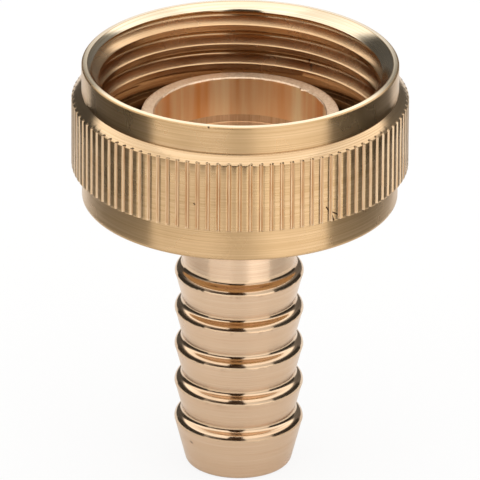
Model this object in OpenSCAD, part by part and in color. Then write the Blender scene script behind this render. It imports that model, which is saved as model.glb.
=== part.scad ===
// Hose union: a knurled union nut that turns freely on a barbed hose tail.
// Millimetres, +Z up. The origin is the centre of the tail's lower end, and
// every height above it is built up from the sizes below.

/* [Hose barbs] */
// Diameter over the lips of the barbs, which sets the hose size
barb_d = 14.2; // [13.4:0.1:14.4]
// Number of barbs
barb_count = 5; // [2:1:8]
// Distance from one barb's lip to the next
barb_pitch = 4.42; // [4:0.02:6]
// Height of the rounded back above each lip
barb_back_h = 1.33; // [1.1:0.01:1.8]
// Radius of the convex part of the back, next to the lip
barb_back_r = 0.9; // [0.7:0.05:1]
// Height of the long cone below the lowest lip
end_cone_h = 5.1; // [4:0.05:8]
// Diameter of the tail at its lower end, where its edge starts to round
end_d = 11.8; // [11:0.1:12.6]
// Radius that rounds the edge of the lower end
end_round = 0.6; // [0.2:0.05:0.8]

/* [Neck and waterway] */
// Diameter of the smooth neck, and of the foot of each barb's back
neck_d = 12.5; // [12:0.1:12.8]
// Height of the neck from the highest barb to the nut
neck_h = 7.7; // [4:0.1:16]
// Diameter of the waterway through the tail
waterway_d = 9; // [6:0.1:9.6]

/* [Head of the tail] */
// Outside diameter of the spigot that stands up inside the nut
spigot_d = 21.7; // [20.8:0.1:24]
// Diameter of the wide bore in the spigot
spigot_bore_d = 18.8; // [16:0.1:19.6]
// Depth of the wide bore
spigot_bore_depth = 5.3; // [3:0.1:5.4]
// Height of the spigot above the flange
spigot_h = 4.45; // [3.6:0.05:5.4]
// Thickness of the flange that the nut pulls on
flange_t = 2.5; // [2.2:0.1:3.4]
// Gap between the flange and the plain bore of the nut around it
flange_gap = 0.55; // [0.2:0.05:0.7]
// Diameter of the shank that the nut turns on
shank_d = 14.6; // [14.5:0.1:16]
// Length of the shank that shows below the nut
shank_below = 0.6; // [0.2:0.1:1.2]
// Running clearance between the shank and the nut, on the radius
shank_clearance = 0.08; // [0.04:0.01:0.1]

/* [Union nut] */
// Wall left between the relief groove and the plain collar at the mouth
mouth_wall = 0.7; // [0.6:0.05:1.5]
// Wall left between the relief groove and the collar below the knurled band
base_wall = 0.65; // [0.6:0.05:1.5]
// How far the knurled band stands out from the collar at the mouth
knurl_rise = 1.1; // [0.8:0.05:2]
// Height of the collar below the knurled band
base_collar_h = 3.95; // [2:0.1:6]
// Height of the knurled band at its full diameter
knurl_h = 7.85; // [6:0.05:12]
// Height of the sloping shoulder above the knurled band
shoulder_h = 0.85; // [0.5:0.05:1.5]
// Height of the collar at the mouth, above the shoulder
collar_h = 3.25; // [2.6:0.1:6]
// Bevel on the outer lip of the mouth
lip_bevel = 0.25; // [0.1:0.05:0.4]
// Radius that rounds the lower edge
base_round = 0.4; // [0.1:0.05:0.8]
// Thickness of the inward collar at the bottom
inner_collar_t = 3; // [2:0.1:4]

/* [Knurl] */
// Number of straight grooves around the band
groove_count = 100; // [60:2:110]
// Width of a groove at the surface
groove_w = 0.44; // [0.3:0.02:0.6]
// Depth of a groove
groove_depth = 0.3; // [0.1:0.05:0.5]
// Bevel on the lower edge of the band
band_bevel = 0.12; // [0.05:0.01:0.3]

/* [Thread] */
// Diameter over the crests of the thread
thread_d = 30.9; // [30.2:0.1:31.1]
// Distance from one crest of the thread to the next, along the axis
thread_pitch = 2.309; // [2:0.001:2.4]
// Depth of the thread, and of the relief groove that it runs out into
thread_depth = 1.2; // [1:0.05:1.4]
// Width of the flat on each crest
crest_w = 0.6; // [0.3:0.05:0.7]
// Angle between the two flanks of the thread
thread_angle = 55; // [50:5:60]
// Number of crests above the relief
crest_count = 2; // [1:1:2]
// Distance from the mouth to the middle of the first crest
first_crest = 2.63; // [2.5:0.01:2.7]
// Width of the bevel that leads into the thread
lead_in = 1.25; // [0.8:0.05:1.4]
// How much wider than the crests the plain bore around the flange is, on the radius
plain_bore_step = 0.2; // [0.1:0.05:0.4]
// Height of the plain bore, from the inward collar up to the relief
plain_bore_h = 3.4; // [2.8:0.1:4.4]

/* [Hidden] */
$fn = 96;

// Lets a cutting shape pass through the face that it opens
cut = 1;
// Steps in each rounded stretch of a profile
arc_steps = 6;
// Share of a groove's width that is flat floor, the rest being its two flanks
groove_floor = 0.36;
nut_colour = [0.80, 0.64, 0.45];
tail_colour = [0.83, 0.70, 0.56];

// Heights on the tail, from its lower end
top_lip_z = end_cone_h + (barb_count - 1) * barb_pitch;
neck_z = top_lip_z + barb_back_h;
nut_z = neck_z + neck_h;
flange_z = nut_z + inner_collar_t;
spigot_z = flange_z + flange_t;
face_z = spigot_z + spigot_h;

// Heights on the nut, measured in the same frame
band_z = nut_z + base_collar_h;
shoulder_z = band_z + knurl_h;
mouth_collar_z = shoulder_z + shoulder_h;
mouth_z = mouth_collar_z + collar_h;
relief_low_z = flange_z + plain_bore_h;
first_crest_z = mouth_z - first_crest;

// Diameters that follow from their mates
plain_bore_d = thread_d + 2 * plain_bore_step;
flange_d = plain_bore_d - 2 * flange_gap;
nut_hole_d = shank_d + 2 * shank_clearance;
relief_d = thread_d + 2 * thread_depth;
collar_d = relief_d + 2 * mouth_wall;
base_collar_d = relief_d + 2 * base_wall;
knurl_d = collar_d + 2 * knurl_rise;

// The rounded back of a barb is two arcs that meet smoothly: convex from the
// lip, then concave to the foot. Both turn through the same angle.
back_drop = (barb_d - neck_d) / 2;
back_turn = 2 * atan(back_drop / barb_back_h);
back_r_sum = barb_back_h / sin(back_turn);
back_foot_r = back_r_sum - barb_back_r;

// Section of the thread. The flank above the first crest's groove stops where
// it meets the bevel of the mouth, tip_z being that height.
flank_slope = tan(thread_angle / 2);
flank_h = thread_depth * flank_slope;
last_root_z = first_crest_z + thread_pitch - crest_w / 2 - flank_h;
tip_z = (relief_d / 2 + last_root_z / flank_slope - thread_d / 2 - lead_in + mouth_z)
    / (1 + 1 / flank_slope);

// Points on an arc about a centre, from angle a0 to angle a1
function arc(centre, r, a0, a1) =
    [for (i = [0 : arc_steps])
        let (a = a0 + (a1 - a0) * i / arc_steps)
        [centre[0] + r * cos(a), centre[1] + r * sin(a)]];

// One barb from its lip upwards, as points of radius and height
function barb_back(lip_z) = concat(
    arc([barb_d / 2 - barb_back_r, lip_z], barb_back_r, 0, back_turn),
    arc([neck_d / 2 + back_foot_r, lip_z + barb_back_h],
        back_foot_r, 180 + back_turn, 180));

// Straight groove of the knurl, cut through the band and out of the shoulder
module knurl_groove() {
    rim = knurl_d / 2 + cut;
    floor_r = knurl_d / 2 - groove_depth;
    half_floor = groove_w * groove_floor / 2;
    flare = (groove_w / 2 - half_floor) / groove_depth;
    half_rim = half_floor + flare * (rim - floor_r);
    translate([0, 0, band_z - cut])
        linear_extrude(knurl_h + shoulder_h + 2 * cut)
            polygon([
                [floor_r, -half_floor],
                [rim, -half_rim],
                [rim, half_rim],
                [floor_r, half_floor]
            ]);
}

// Outside of the nut, turned: collar, knurled band, shoulder and mouth
module nut_blank() {
    base_r = base_collar_d / 2;
    rotate_extrude()
        polygon(concat(
            [[0, nut_z]],
            arc([base_r - base_round, nut_z + base_round], base_round, -90, 0),
            [
                [base_r, band_z],
                [knurl_d / 2 - band_bevel, band_z],
                [knurl_d / 2, band_z + band_bevel],
                [knurl_d / 2, shoulder_z],
                [collar_d / 2, mouth_collar_z],
                [collar_d / 2, mouth_z - lip_bevel],
                [collar_d / 2 - lip_bevel, mouth_z],
                [0, mouth_z]
            ]));
}

// One crest of the thread, as points of radius and height, from below
function crest(z) = [
    [relief_d / 2, z - crest_w / 2 - flank_h],
    [thread_d / 2, z - crest_w / 2],
    [thread_d / 2, z + crest_w / 2],
    [relief_d / 2, z + crest_w / 2 + flank_h]
];

// Bore of the nut, turned: hole, plain bore, relief, thread and bevelled mouth.
// The thread is drawn as rings of its own section, one pitch apart.
module nut_bore() {
    mouth_r = thread_d / 2 + lead_in;
    rotate_extrude()
        polygon(concat(
            [
                [0, nut_z - cut],
                [nut_hole_d / 2, nut_z - cut],
                [nut_hole_d / 2, flange_z],
                [plain_bore_d / 2, flange_z],
                [plain_bore_d / 2, relief_low_z],
                [relief_d / 2, relief_low_z]
            ],
            [for (i = [crest_count - 1 : -1 : 0])
                each crest(first_crest_z - i * thread_pitch)],
            [
                [relief_d / 2, last_root_z],
                [mouth_r - (mouth_z - tip_z), tip_z],
                [mouth_r, mouth_z],
                [mouth_r, mouth_z + cut],
                [0, mouth_z + cut]
            ]));
}

module union_nut() {
    color(nut_colour)
        difference() {
            nut_blank();
            nut_bore();
            for (i = [0 : groove_count - 1])
                rotate([0, 0, 360 * i / groove_count])
                    knurl_groove();
        }
}

// Outside of the tail, turned: barbs, neck, shank, flange and spigot
module tail_blank() {
    end_r = end_d / 2;
    rotate_extrude()
        polygon(concat(
            [[0, 0]],
            arc([end_r - end_round, end_round], end_round, -90, 0),
            [for (i = [0 : barb_count - 1])
                each barb_back(end_cone_h + i * barb_pitch)],
            [
                [neck_d / 2, nut_z - shank_below - (shank_d - neck_d) / 2],
                [shank_d / 2, nut_z - shank_below],
                [shank_d / 2, flange_z],
                [flange_d / 2, flange_z],
                [flange_d / 2, spigot_z],
                [spigot_d / 2, spigot_z],
                [spigot_d / 2, face_z],
                [0, face_z]
            ]));
}

module hose_tail() {
    color(tail_colour)
        difference() {
            tail_blank();
            translate([0, 0, -cut])
                cylinder(d = waterway_d, h = face_z + 2 * cut);
            translate([0, 0, face_z - spigot_bore_depth])
                cylinder(d = spigot_bore_d, h = spigot_bore_depth + cut);
        }
}

union_nut();
hose_tail();
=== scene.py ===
import math

import bpy
import numpy as np
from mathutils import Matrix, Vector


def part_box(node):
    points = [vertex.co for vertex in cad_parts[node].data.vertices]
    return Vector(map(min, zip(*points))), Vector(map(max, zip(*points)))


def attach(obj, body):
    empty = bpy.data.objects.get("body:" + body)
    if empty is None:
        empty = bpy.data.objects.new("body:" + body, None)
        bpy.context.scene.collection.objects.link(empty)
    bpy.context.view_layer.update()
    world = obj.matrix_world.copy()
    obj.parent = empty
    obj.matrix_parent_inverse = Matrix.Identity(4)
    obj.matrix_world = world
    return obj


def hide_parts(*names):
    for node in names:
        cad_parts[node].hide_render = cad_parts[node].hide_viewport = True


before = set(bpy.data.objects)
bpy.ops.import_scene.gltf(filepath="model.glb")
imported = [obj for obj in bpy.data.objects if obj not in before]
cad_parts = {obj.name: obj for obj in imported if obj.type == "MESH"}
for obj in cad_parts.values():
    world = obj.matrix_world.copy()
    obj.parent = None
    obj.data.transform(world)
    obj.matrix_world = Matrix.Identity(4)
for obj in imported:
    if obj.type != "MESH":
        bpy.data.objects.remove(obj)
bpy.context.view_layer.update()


# The view: a camera 1.47 m away that looks down at 24.75 degrees, as the photograph does, with a
# frame 52.7 mm wide at the part. It is turned 0.3 degrees about its own line of sight.
MM = 0.001
frame_width = 52.69 * MM
camera_distance = 1471 * MM
camera_elevation = math.radians(24.75)
camera_roll = math.radians(0.3)
aim_x = 0.06 * MM
aim_z = 26.4 * MM

camera_data = bpy.data.cameras.new("camera")
camera_data.lens = camera_data.sensor_width * camera_distance / frame_width
camera_data.clip_start = 0.05
camera_data.clip_end = 20
camera = bpy.data.objects.new("camera", camera_data)
camera.location = (aim_x, -camera_distance * math.cos(camera_elevation),
                   aim_z + camera_distance * math.sin(camera_elevation))
camera.rotation_euler = (math.pi / 2 - camera_elevation, 0, 0)
camera.rotation_euler.rotate_axis("Z", camera_roll)
bpy.context.collection.objects.link(camera)
bpy.context.scene.camera = camera
bpy.context.scene.view_settings.view_transform = "Standard"


# The floor: matt white paper that the part stands on. To the camera it is nearly white by itself,
# and the part's soft shadow still shows on it. Polished metal sees more of that shadow.
floor_half = 3.0
paper_colour = "f2f1ee"
camera_glow = 0.86
metal_glow = 0.22


def linear(hex_colour):
    """An sRGB hex colour as linear red, green, blue and alpha: the value over 12.92 up to 0.04045,
    and above that the value plus 0.055, over 1.055, to the power 2.4."""
    srgb = np.array([int(hex_colour[i:i + 2], 16) for i in (0, 2, 4)]) / 255
    straight = np.where(srgb <= 0.04045, srgb / 12.92, ((srgb + 0.055) / 1.055) ** 2.4)
    return (*straight.tolist(), 1.0)


def node(tree, kind, settings=None, links=None):
    """Adds a node. Settings are its attributes or its inputs' values, and links are the outputs
    that feed its inputs, by the input's name or number."""
    made = tree.nodes.new(kind)
    for name, value in (settings or {}).items():
        if isinstance(name, str) and hasattr(made, name):
            setattr(made, name, value)
        else:
            made.inputs[name].default_value = value
    for name, source in (links or {}).items():
        tree.links.new(source, made.inputs[name])
    return made


def empty_material(name):
    """A material with no nodes yet, and its tree."""
    made = bpy.data.materials.new(name)
    made.use_nodes = True
    made.node_tree.nodes.clear()
    return made, made.node_tree


def white_paper():
    """Diffuse paper mixed with a white glow on camera, glossy and transmission rays."""
    made, tree = empty_material("white_paper")
    rays = node(tree, "ShaderNodeLightPath").outputs
    seen = node(tree, "ShaderNodeMath", {"operation": "MAXIMUM"},
                {0: rays["Is Camera Ray"], 1: rays["Is Transmission Ray"]})
    plain = node(tree, "ShaderNodeMath", {"operation": "MULTIPLY", 1: camera_glow},
                 {0: seen.outputs[0]})
    share = node(tree, "ShaderNodeMath", {"operation": "MULTIPLY_ADD", 1: metal_glow},
                 {0: rays["Is Glossy Ray"], 2: plain.outputs[0]})
    matt = node(tree, "ShaderNodeBsdfDiffuse", {"Color": linear(paper_colour)})
    glow = node(tree, "ShaderNodeEmission", {"Color": (1, 1, 1, 1), "Strength": 1.0})
    both = node(tree, "ShaderNodeMixShader", None, {0: share.outputs[0], 1: matt.outputs[0],
                                                    2: glow.outputs[0]})
    node(tree, "ShaderNodeOutputMaterial", None, {"Surface": both.outputs[0]})
    return made


def flat_sheet(name, corners, look):
    """One four-sided sheet through the given corners, kept as part of the studio."""
    mesh = bpy.data.meshes.new(name)
    mesh.from_pydata(corners, [], [(0, 1, 2, 3)])
    mesh.materials.append(look)
    sheet = bpy.data.objects.new(name, mesh)
    bpy.context.collection.objects.link(sheet)
    return sheet


flat_sheet("floor", [(-floor_half, -floor_half, 0), (floor_half, -floor_half, 0),
                     (floor_half, floor_half, 0), (-floor_half, floor_half, 0)], white_paper())


# The studio cards: a low dark board on each side of the part, two brown ones where the photographer
# stands, and a bright sheet on the floor to the front right and to the front left. All are out of
# the frame, and only the metal sees them, as the bands that make it look round.
card_foot = 0.0005
card_top = 0.046
card_colour = "3f3f3d"
sheet_lift = 0.0006
brown_y = -0.40
brown_foot = 0.03
brown_colour = "3a2919"


def even_card(name, hex_colour, level):
    """A board with an even glow, so that it looks the same from every side."""
    made, tree = empty_material(name)
    dim = node(tree, "ShaderNodeEmission", {"Color": linear(hex_colour), "Strength": level})
    node(tree, "ShaderNodeOutputMaterial", None, {"Surface": dim.outputs[0]})
    return made


def metal_only(card):
    """Hides a sheet from everything but reflections."""
    card.visible_camera = False
    card.visible_diffuse = False
    card.visible_transmission = False
    card.visible_shadow = False


card_look = even_card("grey_card", card_colour, 1.0)
for name, x, near, far in (("card_left", -0.072, -0.042, 0.062),
                           ("card_right", 0.072, -0.042, 0.066)):
    metal_only(flat_sheet(name, [(x, near, card_foot), (x, far, card_foot), (x, far, card_top),
                                 (x, near, card_top)], card_look))
for name, left, right, near, far, level in (("white_right", 0.018, 0.30, -0.38, -0.034, 1.50),
                                            ("white_left", -0.30, -0.016, -0.38, -0.044, 1.22)):
    metal_only(flat_sheet(name, [(left, near, sheet_lift), (right, near, sheet_lift),
                                 (right, far, sheet_lift), (left, far, sheet_lift)],
                          even_card(name, "ffffff", level)))
brown_look = even_card("brown_card", brown_colour, 1.0)
for name, left, right, top in (("card_front", -0.150, 0.068, 0.74),
                               ("card_front_low", -0.50, -0.151, 0.16)):
    metal_only(flat_sheet(name, [(left, brown_y, brown_foot), (right, brown_y, brown_foot),
                                 (right, brown_y, top), (left, brown_y, top)], brown_look))


# The lamps: one large soft box overhead, and a world that is white to the camera. To the metal it
# is a room with a bright ceiling from about 33 degrees up and dim walls, with a narrow bright strip
# straight behind the part and a wide one to the right of the photographer.
def soft_box(name, place, target, width, height, watts):
    """A rectangular lamp at place whose face is turned to target."""
    data = bpy.data.lights.new(name, "AREA")
    data.shape = "RECTANGLE"
    data.size = width
    data.size_y = height
    data.energy = watts
    lamp = bpy.data.objects.new(name, data)
    lamp.location = place
    way = np.subtract(target, place)
    lamp.rotation_euler = (math.atan2(math.hypot(way[0], way[1]), -way[2]), 0,
                           math.atan2(way[1], way[0]) - math.pi / 2)
    bpy.context.collection.objects.link(lamp)


soft_box("top_box", place=(0.0, -0.05, 0.80), target=(0, 0, 0.03), width=0.80, height=0.80,
         watts=1.0)

# The walls' levels go by the share of a turn, from straight behind the part by its left side, the
# photographer and its right side. The ceiling's own ones go by the height of a direction.
ceiling_from = 0.50
ceiling_full = 0.57
ceiling_edge = 1.75
ceiling_middle = 0.98
wall_levels = [(0.0, 1.2), (0.018, 1.1), (0.035, 0.12), (0.15, 0.08), (0.20, 0.30),
               (0.335, 0.40), (0.345, 0.30), (0.45, 0.10), (0.530, 0.06), (0.537, 1.05),
               (0.66, 0.85), (0.70, 0.40), (0.84, 0.25), (0.95, 0.14), (0.968, 0.14),
               (0.982, 1.1), (1.0, 1.2)]
world = bpy.data.worlds.new("studio")
bpy.context.scene.world = world
world.use_nodes = True
air = world.node_tree
air.nodes.clear()
way = node(air, "ShaderNodeSeparateXYZ", None,
           {0: node(air, "ShaderNodeTexCoord").outputs["Generated"]})
front_way = node(air, "ShaderNodeMath", {"operation": "MULTIPLY", 1: -1.0}, {0: way.outputs["Y"]})
azimuth = node(air, "ShaderNodeMath", {"operation": "ARCTAN2"},
               {0: way.outputs["X"], 1: front_way.outputs[0]})
share = node(air, "ShaderNodeMath", {"operation": "MULTIPLY_ADD", 1: 0.5 / math.pi, 2: 0.5},
             {0: azimuth.outputs[0]})
walls = node(air, "ShaderNodeValToRGB", None, {"Fac": share.outputs[0]})
stops = walls.color_ramp.elements
for step, (turned, level) in enumerate(wall_levels):
    stop = stops[0] if step == 0 else stops[-1] if turned == 1.0 else stops.new(turned)
    stop.position = turned
    stop.color = (level, level, level, 1)
rise = node(air, "ShaderNodeMapRange", {"From Min": ceiling_from, "From Max": ceiling_full},
            {"Value": way.outputs["Z"]})
ceiling = node(air, "ShaderNodeMapRange", {"From Min": ceiling_full, "From Max": 1.0,
               "To Min": ceiling_edge, "To Max": ceiling_middle}, {"Value": way.outputs["Z"]})
room = node(air, "ShaderNodeMix", {"data_type": "RGBA"},
            {0: rise.outputs[0], 6: walls.outputs["Color"], 7: ceiling.outputs[0]})
dim = node(air, "ShaderNodeBackground", {"Strength": 1.0}, {"Color": room.outputs[2]})
white = node(air, "ShaderNodeBackground", {"Color": (1, 1, 1, 1), "Strength": 1.0})
direct = node(air, "ShaderNodeLightPath").outputs["Is Camera Ray"]
both = node(air, "ShaderNodeMixShader", None, {0: direct, 1: dim.outputs[0], 2: white.outputs[0]})
node(air, "ShaderNodeOutputWorld", None, {0: both.outputs[0]})


# The union nut: one piece turned from yellow brass bar. Its band is given straight grooves all
# round, and the mouth is cut with the right-hand G 1 pipe thread, 11 turns to the inch. Sizes are
# in mm. crest_z is the height of a crest at the far side, and lead_z the foot of the mouth's bevel.
nut_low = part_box("union_nut")[0][2] / MM
nut_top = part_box("union_nut")[1][2] / MM
hole_r = 7.38
base_r = 17.3
base_round = 0.4
band_r = 18.45
collar_r = 17.35
band_z = nut_low + 3.95
shoulder_z = band_z + 7.85
collar_z = shoulder_z + 0.85
lip_bevel = 0.16
rim_fall = 0.06
groove_count = 100
groove_w = 0.44
groove_floor = 0.12
groove_depth = 0.25
edge_w = 0.03
edge_worn = 0.03
crest_r = 15.45
crest_w = 0.60
root_r = 16.62
root_round = 0.317
flank_angle = math.radians(27.5)
pitch = 25.4 / 11
crest_z = nut_top - 4.94
mouth_r = 16.70
lead_z = nut_top - (mouth_r - crest_r)
relief_r = 16.65
relief_z = nut_low + 6.4
thread_end_z = relief_z + 1.2
plain_r = 15.65
floor_z = nut_low + 3.0


def closed_turning(name, rows):
    """A closed surface of quads from a grid of points, rows along the outline and columns round
    the axis, with the last row joined to the first and the last column to the first."""
    count, columns = rows.shape[:2]
    index = np.arange(count * columns).reshape(count, columns)
    up = np.roll(index, -1, 0)
    quads = np.stack([index, np.roll(index, -1, 1), np.roll(up, -1, 1), up], -1).reshape(-1, 4)
    mesh = bpy.data.meshes.new(name)
    mesh.vertices.add(rows.size // 3)
    mesh.vertices.foreach_set("co", (rows.reshape(-1) * MM).astype(np.float32))
    mesh.loops.add(quads.size)
    mesh.loops.foreach_set("vertex_index", quads.reshape(-1).astype(np.int32))
    mesh.polygons.add(len(quads))
    mesh.polygons.foreach_set("loop_start", np.arange(0, quads.size, 4, dtype=np.int32))
    mesh.update(calc_edges=True)
    mesh.validate()
    return mesh


def smooth_within(mesh, degrees):
    """Shades a mesh smooth, apart from edges whose faces meet at more than this angle."""
    mesh.polygons.foreach_set("use_smooth", np.ones(len(mesh.polygons), dtype=bool))
    mesh.set_sharp_from_angle(angle=math.radians(degrees))


def along(corners, step):
    """Points of radius and height on straight lines between corners, each line divided evenly
    into steps no longer than the given one. The last corner is left to what follows."""
    corners = np.array(corners, float)
    points = []
    for start, end in zip(corners[:-1], corners[1:]):
        parts = max(1, math.ceil(np.hypot(*(end - start)) / step))
        points.append(start + (end - start) * (np.arange(parts) / parts)[:, None])
    return np.concatenate(points)


def rounded(centre_r, centre_z, radius, start, end, steps):
    """Points of radius and height on an arc about a centre, from one angle to another, in
    degrees."""
    turn = np.radians(np.linspace(start, end, steps + 1))
    return np.stack([centre_r + radius * np.cos(turn), centre_z + radius * np.sin(turn)], -1)


# Columns round the nut: eight to a groove, close together at its flanks. Angles are measured from
# +X, and a groove lies at every whole step of the count.
beside = np.array([-0.29, -0.225, -0.06, 0.06, 0.225, 0.29, 0.48, 0.68])
theta = (np.arange(groove_count)[:, None] * (2 * math.pi / groove_count)
         + beside[None, :] / band_r).reshape(-1)

# The outline as radius and height, from the hole across the foot and up the outside to the mouth.
# Points a few hundredths of a millimetre apart take off the sharp edges.
outside = np.concatenate([
    along([(hole_r + 0.1, nut_low), (base_r - base_round, nut_low)], 3.2),
    rounded(base_r - base_round, nut_low + base_round, base_round, -90, 0, 4),
    along([(base_r, nut_low + 0.5), (base_r, band_z - 0.06)], 3.5),
    [(base_r, band_z - 0.06), (base_r + 0.06, band_z)],
    along([(base_r + 0.10, band_z), (band_r - groove_depth - 0.03, band_z)], 0.9),
    [(band_r - groove_depth + 0.02, band_z), (band_r - 0.12, band_z),
     (band_r - 0.035, band_z + 0.035), (band_r, band_z + 0.12)],
    along([(band_r, band_z + 0.25), (band_r, shoulder_z - 0.06)], 1.9),
    [(band_r, shoulder_z - 0.06), (band_r - 0.03, shoulder_z)],
    along([(band_r - 0.05, shoulder_z + 0.03), (band_r - groove_depth - 0.04, shoulder_z + 0.265)],
          0.09),
    along([(band_r - groove_depth - 0.06, shoulder_z + 0.28), (collar_r + 0.02, collar_z - 0.01)],
          0.5),
    [(collar_r - 0.04, collar_z), (collar_r - 0.05, collar_z + 0.06), (collar_r, collar_z + 0.16)],
    along([(collar_r, collar_z + 0.3), (collar_r, nut_top - lip_bevel - 0.03)], 1.5),
    [(collar_r, nut_top - lip_bevel - 0.03), (collar_r - 0.03, nut_top - lip_bevel + 0.02),
     (collar_r - lip_bevel + 0.03, nut_top - rim_fall - 0.02),
     (collar_r - lip_bevel - 0.04, nut_top - rim_fall),
     (mouth_r + 0.09, nut_top - 0.012)],
])


def knurled(outline, angle):
    """Radius of the knurled outside: the outline's own radius, or the groove's where that is
    less. A groove's depth rises in a straight flank from 0 at its edge to full at its floor, and
    the edge itself is worn down a little."""
    step = 2 * math.pi / groove_count
    across = np.abs((angle + step / 2) % step - step / 2) * band_r
    share = np.clip((groove_w - 2 * across) / (groove_w - groove_floor), 0, 1)
    at_edge = (across > groove_w / 2) & (across < groove_w / 2 + edge_w)
    cut = np.maximum(edge_worn * at_edge, groove_depth * share)
    groove_r = np.where(outline[:, 1:] < band_z - 0.01, band_r, band_r - cut)
    return np.minimum(outline[:, :1], groove_r)


# Rows inside the mouth lie closest together at the edges of each crest. They climb with the
# thread, so that its edges stay clean.
beside_crest = np.array([-1.06, -0.96, -0.87, -0.72, -0.56, -0.42, -0.315, -0.285,
                         0.285, 0.315, 0.42, 0.56, 0.72, 0.87, 0.96, 1.06, pitch / 2])
thread_rows = crest_z + pitch * np.arange(-2, 3)[:, None] + beside_crest
thread_rows = np.sort(thread_rows.reshape(-1))[::-1]
thread_rows = thread_rows[(thread_rows < nut_top - 0.07) & (thread_rows > relief_z + 0.5)]
mouth_outline = np.array([
    (relief_r, relief_z), (relief_r, thread_end_z), (crest_r, thread_end_z + 0.35),
    (crest_r, lead_z), (mouth_r, nut_top)])


def climb(angle):
    """Share of a turn from the near side of the nut, to the right hand seen from above."""
    return (angle / (2 * math.pi) + 0.25) % 1.0


def lifted(heights, angle):
    """Heights of the rows: each climbs with the thread for 340 degrees and comes back in the last
    20, at the near side. Within about 1.6 mm of the rim and of the relief the climb shrinks to
    nothing."""
    climbing = 340 / 360
    full = pitch * np.interp(climb(angle), [0, climbing, 1], [-0.5, climbing - 0.5, -0.5])
    share = (np.clip((nut_top - 0.05 - heights) / 1.6, 0, 1)
             * np.clip((heights - relief_z - 0.4) / 1.6, 0, 1))
    return heights[:, None] + share[:, None] * full[None, :]


def threaded(heights, angle):
    """Radius of the bore at a height and angle: the bevel, crest or relief of the outline, or the
    thread's groove where that is wider. Across the groove the radius rises from the crest's edge
    in a straight flank, and meets its neighbour in an arc at the root. In the mouth's bevel, in
    full from 0.4 mm above its foot, the groove comes in over the turn's first tenth and runs out
    over its last fifth."""
    turned = climb(angle)[None, :]
    rise = heights - crest_z - pitch * (turned - 0.5)
    off = np.abs((rise + pitch / 2) % pitch - pitch / 2)
    to_root = pitch / 2 - off
    reach = root_round * math.cos(flank_angle)
    bowl = root_r - root_round + np.sqrt(
        np.maximum(root_round ** 2 - np.minimum(to_root, reach) ** 2, 0))
    edge = root_r - root_round * (1 - math.sin(flank_angle))
    share = np.clip((off - crest_w / 2) / (pitch / 2 - reach - crest_w / 2), 0, 1)
    cut = np.where(to_root < reach, bowl, crest_r + (edge - crest_r) * share)
    plain = np.interp(heights, mouth_outline[:, 1], mouth_outline[:, 0])
    fading = np.interp(turned, [0, 0.1, 0.8, 0.94, 1], [0, 1, 1, 0, 0])
    kept = 1 - np.clip((heights - lead_z) / 0.4, 0, 1) * (1 - fading)
    return np.where(heights > thread_end_z, plain + kept * np.maximum(cut - plain, 0), plain)


# The outline goes on below the thread: the relief, the plain bore, the floor and the hole.
below = np.concatenate([
    along([(relief_r, relief_z + 0.35), (relief_r, relief_z + 0.06)], 0.7),
    [(relief_r, relief_z + 0.06), (relief_r - 0.06, relief_z)],
    along([(relief_r - 0.3, relief_z), (plain_r + 0.05, relief_z)], 0.5),
    [(plain_r + 0.04, relief_z), (plain_r, relief_z - 0.04)],
    along([(plain_r, relief_z - 0.2), (plain_r, floor_z + 0.1)], 1.8),
    [(plain_r, floor_z + 0.1), (plain_r - 0.03, floor_z + 0.03), (plain_r - 0.10, floor_z)],
    along([(plain_r - 0.6, floor_z), (hole_r + 0.08, floor_z)], 3.8),
    [(hole_r + 0.08, floor_z), (hole_r, floor_z - 0.08)],
    along([(hole_r, floor_z - 0.3), (hole_r, nut_low + 0.1)], 2.0),
    [(hole_r, nut_low + 0.1)],
])
# Two rows at the mouth's edge lie between the outside and the thread.
ones = np.ones((1, theta.size))
mouth_z = lifted(thread_rows, theta)
nut_r = np.concatenate([knurled(outside, theta), (mouth_r + 0.03) * ones, (mouth_r - 0.03) * ones,
                        threaded(mouth_z, theta), below[:, :1] * ones])
nut_z = np.concatenate([outside[:, 1:] * ones, nut_top * ones, (nut_top - 0.035) * ones,
                        mouth_z, below[:, 1:] * ones])
nut_mesh = closed_turning("union_nut_turned",
                          np.stack([nut_r * np.cos(theta), nut_r * np.sin(theta), nut_z], -1))
smooth_within(nut_mesh, degrees=28)


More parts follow.
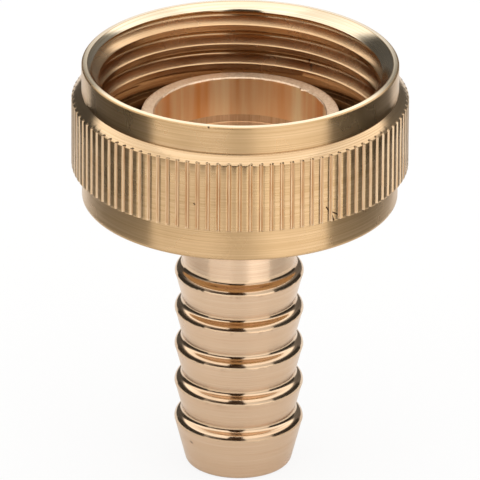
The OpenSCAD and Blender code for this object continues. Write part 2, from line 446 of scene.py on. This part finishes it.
def scratched(tree, place, wall_r, lines):
    """A mask that is 1 on short scratches. Each is given by the angle from the front in degrees
    and the height of one end, those of the other end, and its half width. The wall is unrolled to
    arc and height. The mask falls from 1 to 0 as the distance to the line's nearest point grows
    from half of the half width to the whole of it."""
    part = node(tree, "ShaderNodeSeparateXYZ", None, {0: place}).outputs
    front_way = node(tree, "ShaderNodeMath", {"operation": "MULTIPLY", 1: -1.0}, {0: part["Y"]})
    angle = node(tree, "ShaderNodeMath", {"operation": "ARCTAN2"},
                 {0: part["X"], 1: front_way.outputs[0]})
    arc = node(tree, "ShaderNodeMath", {"operation": "MULTIPLY", 1: wall_r * MM},
               {0: angle.outputs[0]})
    wall = node(tree, "ShaderNodeCombineXYZ", None, {"X": arc.outputs[0], "Y": part["Z"]})
    mask = None
    for from_angle, from_z, to_angle, to_z, half in lines:
        start = np.array([math.radians(from_angle) * wall_r, from_z, 0]) * MM
        run = np.array([math.radians(to_angle) * wall_r, to_z, 0]) * MM - start
        off = node(tree, "ShaderNodeVectorMath", {"operation": "SUBTRACT", 1: start.tolist()},
                   {0: wall.outputs[0]})
        share = node(tree, "ShaderNodeVectorMath", {"operation": "DOT_PRODUCT",
                     1: (run / run.dot(run)).tolist()}, {0: off.outputs[0]})
        kept = node(tree, "ShaderNodeMath", {"operation": "ADD", "use_clamp": True, 1: 0.0},
                    {0: share.outputs["Value"]})
        near = node(tree, "ShaderNodeVectorMath", {"operation": "SCALE", 0: run.tolist()},
                    {"Scale": kept.outputs[0]})
        gap = node(tree, "ShaderNodeVectorMath", {"operation": "DISTANCE"},
                   {0: off.outputs[0], 1: near.outputs[0]})
        hit = node(tree, "ShaderNodeMapRange", {"From Min": half * MM, "From Max": half * MM * 0.5,
                   "To Min": 0.0, "To Max": 1.0}, {"Value": gap.outputs["Value"]}).outputs[0]
        mask = hit if mask is None else node(tree, "ShaderNodeMath", {"operation": "MAXIMUM"},
                                             {0: mask, 1: hit}).outputs[0]
    return mask


rings_in_metre = 9000.0
round_in_metre = 50.0
scratch_colour = "4a3220"


def turned_brass(name, dark, pale, least, most, stretch, wall_r=1.0, lines=()):
    """Brass as the lathe leaves it, a bare metal. The tool's fine rings run round the axis, so the
    shine is spread across them, from the top of a wall to its foot, and stays sharp along them.
    The rings are drawn about twice as coarse as real ones, which are near 0.05 mm. They go by the
    height plus 1.7 times the radius, so that flat faces have them too. Dark and pale are the ends
    of the colour, least and most those of the roughness, and stretch is how far the shine is
    spread. Lines are dark scratches on a wall of radius wall_r."""
    made, tree = empty_material(name)
    place = node(tree, "ShaderNodeTexCoord").outputs["Object"]
    part = node(tree, "ShaderNodeSeparateXYZ", None, {0: place}).outputs
    level = node(tree, "ShaderNodeVectorMath", {"operation": "MULTIPLY", 1: (1, 1, 0)}, {0: place})
    out = node(tree, "ShaderNodeVectorMath", {"operation": "LENGTH"}, {0: level.outputs[0]})
    reach = node(tree, "ShaderNodeMath", {"operation": "MULTIPLY_ADD", 1: 1.7},
                 {0: out.outputs["Value"], 2: part["Z"]})
    ring = node(tree, "ShaderNodeMath", {"operation": "MULTIPLY", 1: rings_in_metre},
                {0: reach.outputs[0]})
    round_x = node(tree, "ShaderNodeMath", {"operation": "MULTIPLY", 1: round_in_metre},
                   {0: part["X"]})
    round_y = node(tree, "ShaderNodeMath", {"operation": "MULTIPLY", 1: round_in_metre},
                   {0: part["Y"]})
    spot = node(tree, "ShaderNodeCombineXYZ", None,
                {"X": round_x.outputs[0], "Y": round_y.outputs[0], "Z": ring.outputs[0]})
    fine = node(tree, "ShaderNodeTexNoise", {"Scale": 1.0, "Detail": 2.0, "Roughness": 0.65},
                {"Vector": spot.outputs[0]})
    shade = node(tree, "ShaderNodeMapRange", {"From Min": 0.3, "From Max": 0.7},
                 {"Value": fine.outputs[0]})
    tone = node(tree, "ShaderNodeMix", {"data_type": "RGBA", 6: linear(dark), 7: linear(pale)},
                {0: shade.outputs[0]})
    rings = node(tree, "ShaderNodeBump", {"Strength": 0.2, "Distance": 0.00001},
                 {"Height": fine.outputs[0]})
    cloud = node(tree, "ShaderNodeTexNoise", {"Scale": 220.0, "Detail": 3.0}, {"Vector": place})
    gloss = node(tree, "ShaderNodeMapRange", {"From Min": 0.3, "From Max": 0.7, "To Min": least,
                 "To Max": most}, {"Value": cloud.outputs[0]})
    round_axis = node(tree, "ShaderNodeTangent", {"direction_type": "RADIAL", "axis": "Z"})
    colour = tone.outputs[2]
    if lines:
        colour = node(tree, "ShaderNodeMix", {"data_type": "RGBA", 7: linear(scratch_colour)},
                      {0: scratched(tree, place, wall_r, lines), 6: colour}).outputs[2]
    metal = node(tree, "ShaderNodeBsdfPrincipled", {"Metallic": 1.0, "Anisotropic": stretch,
                 "Anisotropic Rotation": 0.25},
                 {"Base Color": colour, "Roughness": gloss.outputs[0],
                  "Normal": rings.outputs[0], "Tangent": round_axis.outputs[0]})
    node(tree, "ShaderNodeOutputMaterial", None, {"Surface": metal.outputs[0]})
    return made


def rough_brass(name, dark, pale, least, most, coarse):
    """Brass torn lengthwise by a rolling wheel or a boring tool: nearly matt, and streaked along
    the axis. Coarse is the streaks' number in a metre."""
    made, tree = empty_material(name)
    place = node(tree, "ShaderNodeTexCoord").outputs["Object"]
    long = node(tree, "ShaderNodeVectorMath", {"operation": "MULTIPLY", 1: (1, 1, 0.06)},
                {0: place})
    torn = node(tree, "ShaderNodeTexNoise", {"Scale": coarse, "Detail": 3.0},
                {"Vector": long.outputs[0]})
    shade = node(tree, "ShaderNodeMapRange", {"From Min": 0.3, "From Max": 0.7},
                 {"Value": torn.outputs[0]})
    tone = node(tree, "ShaderNodeMix", {"data_type": "RGBA", 6: linear(dark), 7: linear(pale)},
                {0: shade.outputs[0]})
    gloss = node(tree, "ShaderNodeMapRange", {"From Min": 0.3, "From Max": 0.7, "To Min": least,
                 "To Max": most}, {"Value": torn.outputs[0]})
    metal = node(tree, "ShaderNodeBsdfPrincipled", {"Metallic": 1.0},
                 {"Base Color": tone.outputs[2], "Roughness": gloss.outputs[0]})
    node(tree, "ShaderNodeOutputMaterial", None, {"Surface": metal.outputs[0]})
    return made


# The knurl's grooves are rougher, and their colour is painted paler as a highlight. The thread and
# the shoulder are cut smoother than the rest, the bore below the thread is painted dark as shade,
# and the rim and the mouth's bevel are worn pale and painted paler still as a highlight. Marks
# are a forked scratch and two specks on the knurl, a nick in the rim and a tick in the thread.
skin, groove, bore, thread, shoulder, rim = range(6)
nut_marks = [(30.6, 37.7, 33.2, 36.4, 0.10), (32.2, 37.1, 35.6, 36.4, 0.10),
             (33.3, 36.2, 33.6, 35.9, 0.13), (-15.6, 38.9, -15.1, 38.8, 0.09),
             (-11.2, 38.3, -11.0, 38.2, 0.08), (-11.6, 47.7, -11.2, 47.55, 0.10)]
thread_marks = [(152.4, 42.3, 152.8, 41.3, 0.10)]
for look in (
        turned_brass("turned_yellow_brass", "bf9b6d", "d8b68c", 0.24, 0.34, 0.85,
                     wall_r=band_r, lines=nut_marks),
        # Paler colour: a painted highlight in the knurl's grooves.
        rough_brass("rolled_groove_brass_painted_highlight", "caa57d", "ebd1ae", 0.32, 0.48, 5200.0),
        # Dark colour: painted shade in the bore below the thread.
        rough_brass("shaded_bore_brass", "6e4e30", "8c6a45", 0.40, 0.55, 1500.0),
        turned_brass("cut_thread_brass", "cba377", "e4c096", 0.20, 0.29, 0.80,
                     wall_r=crest_r, lines=thread_marks),
        turned_brass("smooth_shoulder_brass", "c4a27a", "dabd97", 0.12, 0.18, 0.80),
        # Pale colour: wear, with a painted highlight added on top.
        turned_brass("worn_rim_brass_and_painted_highlight", "dcc6a4", "efdfc4", 0.12, 0.18, 0.80)):
    nut_mesh.materials.append(look)
rows, columns = nut_z.shape
row = np.arange(rows)
beside_groove = np.arange(columns) % len(beside)
row_z = nut_z[:, 0]
on_outside = row < len(outside)
on_band = (on_outside & (row_z > band_z + 0.03) & (row_z < shoulder_z + 0.02)
           & (nut_r.max(1) > band_r - 0.2))
in_groove = (beside_groove >= 1) & (beside_groove <= 3)
in_bore = (row >= rows - len(below)) & (nut_r[:, 0] > hole_r + 0.2) & (row_z > nut_low + 1)
in_thread = (row > len(outside)) & (row < rows - len(below))
on_shoulder = on_outside & ~on_band & (row_z > shoulder_z) & (row_z < collar_z - 0.01)
on_rim = (on_outside & (row_z > nut_top - rim_fall - 0.01))[:, None]
on_bevel = in_thread[:, None] & (np.abs(nut_r - mouth_r + nut_top - nut_z) < 0.03)
finish = np.select([on_shoulder, in_thread, in_bore], [shoulder, thread, bore], skin)[:, None]
finish = np.where(on_band[:, None] & in_groove, groove, finish)
finish = np.where(on_rim | on_bevel, rim, finish)
nut_mesh.polygons.foreach_set("material_index", finish.reshape(-1).astype(np.int32))
nut = bpy.data.objects.new("union_nut_turned", nut_mesh)
bpy.context.collection.objects.link(nut)
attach(nut, "nut")
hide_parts("union_nut")


# The hose tail: one piece of red-toned brass, turned with five barbs that grip the hose, a neck,
# the shank and flange that hold the nut, and a spigot that enters the mating fitting's seal.
tail_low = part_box("hose_tail")[0][2] / MM
tail_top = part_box("hose_tail")[1][2] / MM
waterway_r = 4.5
end_r = 5.9
end_round = 0.6
barb_r = 7.1
neck_r = 6.25
first_lip = 5.1
barb_pitch = 4.42
barb_count = 5
back_h = 1.33
back_r = 0.9
shank_r = 7.3
shank_z = nut_low - 0.6
flange_r = 15.1
flange_z = floor_z
seal_z = flange_z + 2.5
spigot_r = 10.85
spigot_bore_r = 9.4
torn_edge = 0.14
spigot_floor_z = tail_top - 5.3
nick_depth = 0.05
burr_length = 0.3
burr_at = math.radians(43)
burr_spread = math.radians(1.8)
tail_columns = 256


def barb(lip_z):
    """One barb's sharp lip and rounded back: an arc from the lip that bulges out, then one that
    hollows in to the foot. Both turn through twice the arctangent of the drop over the height."""
    drop = barb_r - neck_r
    turn = 2 * math.atan(drop / back_h)
    foot_r = back_h / math.sin(turn) - back_r
    bulge = rounded(barb_r - back_r, lip_z, back_r, 0, math.degrees(turn), 9)
    hollow = rounded(neck_r + foot_r, lip_z + back_h, foot_r, 180 + math.degrees(turn), 180, 8)
    return np.concatenate([[(barb_r - 0.03, lip_z - 0.02)], bulge[:-1], hollow])


# The outline as radius and height, from the waterway across the foot, up the barbs, the neck, the
# flange and the spigot, and down inside again.
lips = [first_lip + i * barb_pitch for i in range(barb_count)]
tail_outline = np.concatenate([
    along([(waterway_r + 0.1, tail_low), (end_r - end_round, tail_low)], 0.5),
    rounded(end_r - end_round, tail_low + end_round, end_round, -90, -14, 6),
    along([(end_r + 0.01, tail_low + end_round - 0.05), (barb_r - 0.06, first_lip - 0.12)], 0.8),
    *[np.concatenate([barb(lip), along([(neck_r + 0.03, lip + back_h + 0.1),
                                        (barb_r - 0.08, next_lip - 0.12)], 0.8)])
      for lip, next_lip in zip(lips, lips[1:])],
    barb(lips[-1]),
    along([(neck_r, lips[-1] + back_h + 0.3), (neck_r, shank_z - (shank_r - neck_r) - 0.1)], 1.5),
    along([(neck_r + 0.02, shank_z - (shank_r - neck_r)), (shank_r - 0.04, shank_z - 0.02)], 0.6),
    [(shank_r, shank_z + 0.06), (shank_r, nut_low - 0.1), (shank_r, nut_low + 0.1)],
    along([(shank_r, nut_low + 1.0), (shank_r, flange_z)], 1.5),
    along([(shank_r, flange_z), (flange_r - 0.1, flange_z)], 3.0),
    [(flange_r - 0.1, flange_z), (flange_r, flange_z + 0.1), (flange_r, seal_z - 0.1),
     (flange_r - 0.1, seal_z)],
    along([(flange_r - 0.4, seal_z), (spigot_r + 0.08, seal_z)], 0.8),
    [(spigot_r, seal_z + 0.08)],
    along([(spigot_r, seal_z + 0.3), (spigot_r, tail_top - 0.12)], 1.4),
    [(spigot_r, tail_top - 0.12), (spigot_r - 0.04, tail_top - 0.03), (spigot_r - 0.14, tail_top)],
    along([(spigot_r - 0.3, tail_top), (spigot_bore_r + torn_edge + 0.02, tail_top)], 0.4),
    [(spigot_bore_r + torn_edge, tail_top), (spigot_bore_r + 0.02, tail_top - torn_edge + 0.02),
     (spigot_bore_r, tail_top - torn_edge)],
    along([(spigot_bore_r, tail_top - 0.3), (spigot_bore_r, spigot_floor_z + 0.15)], 0.7),
    [(spigot_bore_r - 0.04, spigot_floor_z + 0.04), (spigot_bore_r - 0.15, spigot_floor_z)],
    along([(spigot_bore_r - 0.5, spigot_floor_z), (waterway_r + 0.15, spigot_floor_z)], 1.0),
    [(waterway_r + 0.04, spigot_floor_z - 0.04), (waterway_r, spigot_floor_z - 0.15)],
    along([(waterway_r, spigot_floor_z - 1), (waterway_r, tail_low + 0.1)], 3.0),
])
turn = np.arange(tail_columns) * (2 * math.pi / tail_columns)
# The barbs' lips are nicked and the spigot's bore has a torn edge: up to nick_depth off the radius,
# mostly far less. One burr hangs into the bore at the back right.
chance = np.random.default_rng(7).random((len(tail_outline), tail_columns))
at_lip = np.isclose(tail_outline[:, 0], barb_r, atol=0.005) & (tail_outline[:, 1] < lips[-1] + 0.1)
at_bore = ((tail_outline[:, 0] < spigot_bore_r + torn_edge + 0.005)
           & (tail_outline[:, 1] > tail_top - torn_edge - 0.005))
burr = burr_length * np.exp(-((turn - burr_at) / burr_spread) ** 2)
tail_r = (tail_outline[:, :1] - nick_depth * at_lip[:, None] * chance ** 6
          - at_bore[:, None] * (nick_depth * chance ** 2 + burr[None, :]))
tail_rows = np.stack([tail_r * np.cos(turn), tail_r * np.sin(turn),
                      np.broadcast_to(tail_outline[:, 1:], (len(tail_outline), tail_columns))], -1)
tail_mesh = closed_turning("hose_tail_turned", tail_rows)
smooth_within(tail_mesh, degrees=24)

# The barbs' backs are polished smooth. The seal face and the spigot's top are faced matt, and the
# wall of the spigot's bore is streaked, its colour painted pale as light in that shaded hollow. The
# marks are specks on the neck and the end.
tail_skin, faced, polished, bored = range(4)
tail_marks = [(18.0, 27.6, 19.5, 27.6, 0.09), (-51.0, 3.9, -49.0, 3.8, 0.10)]
for look in (
        turned_brass("turned_red_brass", "d8b595", "e3c8ab", 0.20, 0.28, 0.85,
                     wall_r=neck_r, lines=tail_marks),
        rough_brass("faced_red_brass", "ceae8c", "e8cfb4", 0.36, 0.50, 4500.0),
        turned_brass("polished_red_brass", "cfad8b", "dfc4a5", 0.12, 0.18, 0.60),
        # Pale colour: painted light on the shaded bore wall. The streaks are tool marks.
        rough_brass("bored_red_brass_painted_light", "ebb077", "fff2d2", 0.42, 0.58, 520.0)):
    tail_mesh.materials.append(look)
row_r, row_z = tail_outline.T
above_lip = (row_z - first_lip + 0.03) % barb_pitch
on_back = ((above_lip < back_h + 0.06) & (row_z > first_lip - 0.03) & (row_r > end_r + 0.1)
           & (row_z < first_lip + barb_count * barb_pitch - 0.5))
on_seat = (row_z > seal_z - 0.02) & (row_z < seal_z + 0.05)
on_top = row_z > tail_top - torn_edge + 0.005
in_spigot = (row_r < spigot_bore_r + 0.01) & (row_z > spigot_floor_z + 0.01)
finish = np.select([on_seat | on_top, in_spigot, on_back], [faced, bored, polished], tail_skin)
tail_mesh.polygons.foreach_set("material_index", np.repeat(finish, tail_columns).astype(np.int32))
tail = bpy.data.objects.new("hose_tail_turned", tail_mesh)
bpy.context.collection.objects.link(tail)
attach(tail, "tail")
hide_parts("hose_tail")
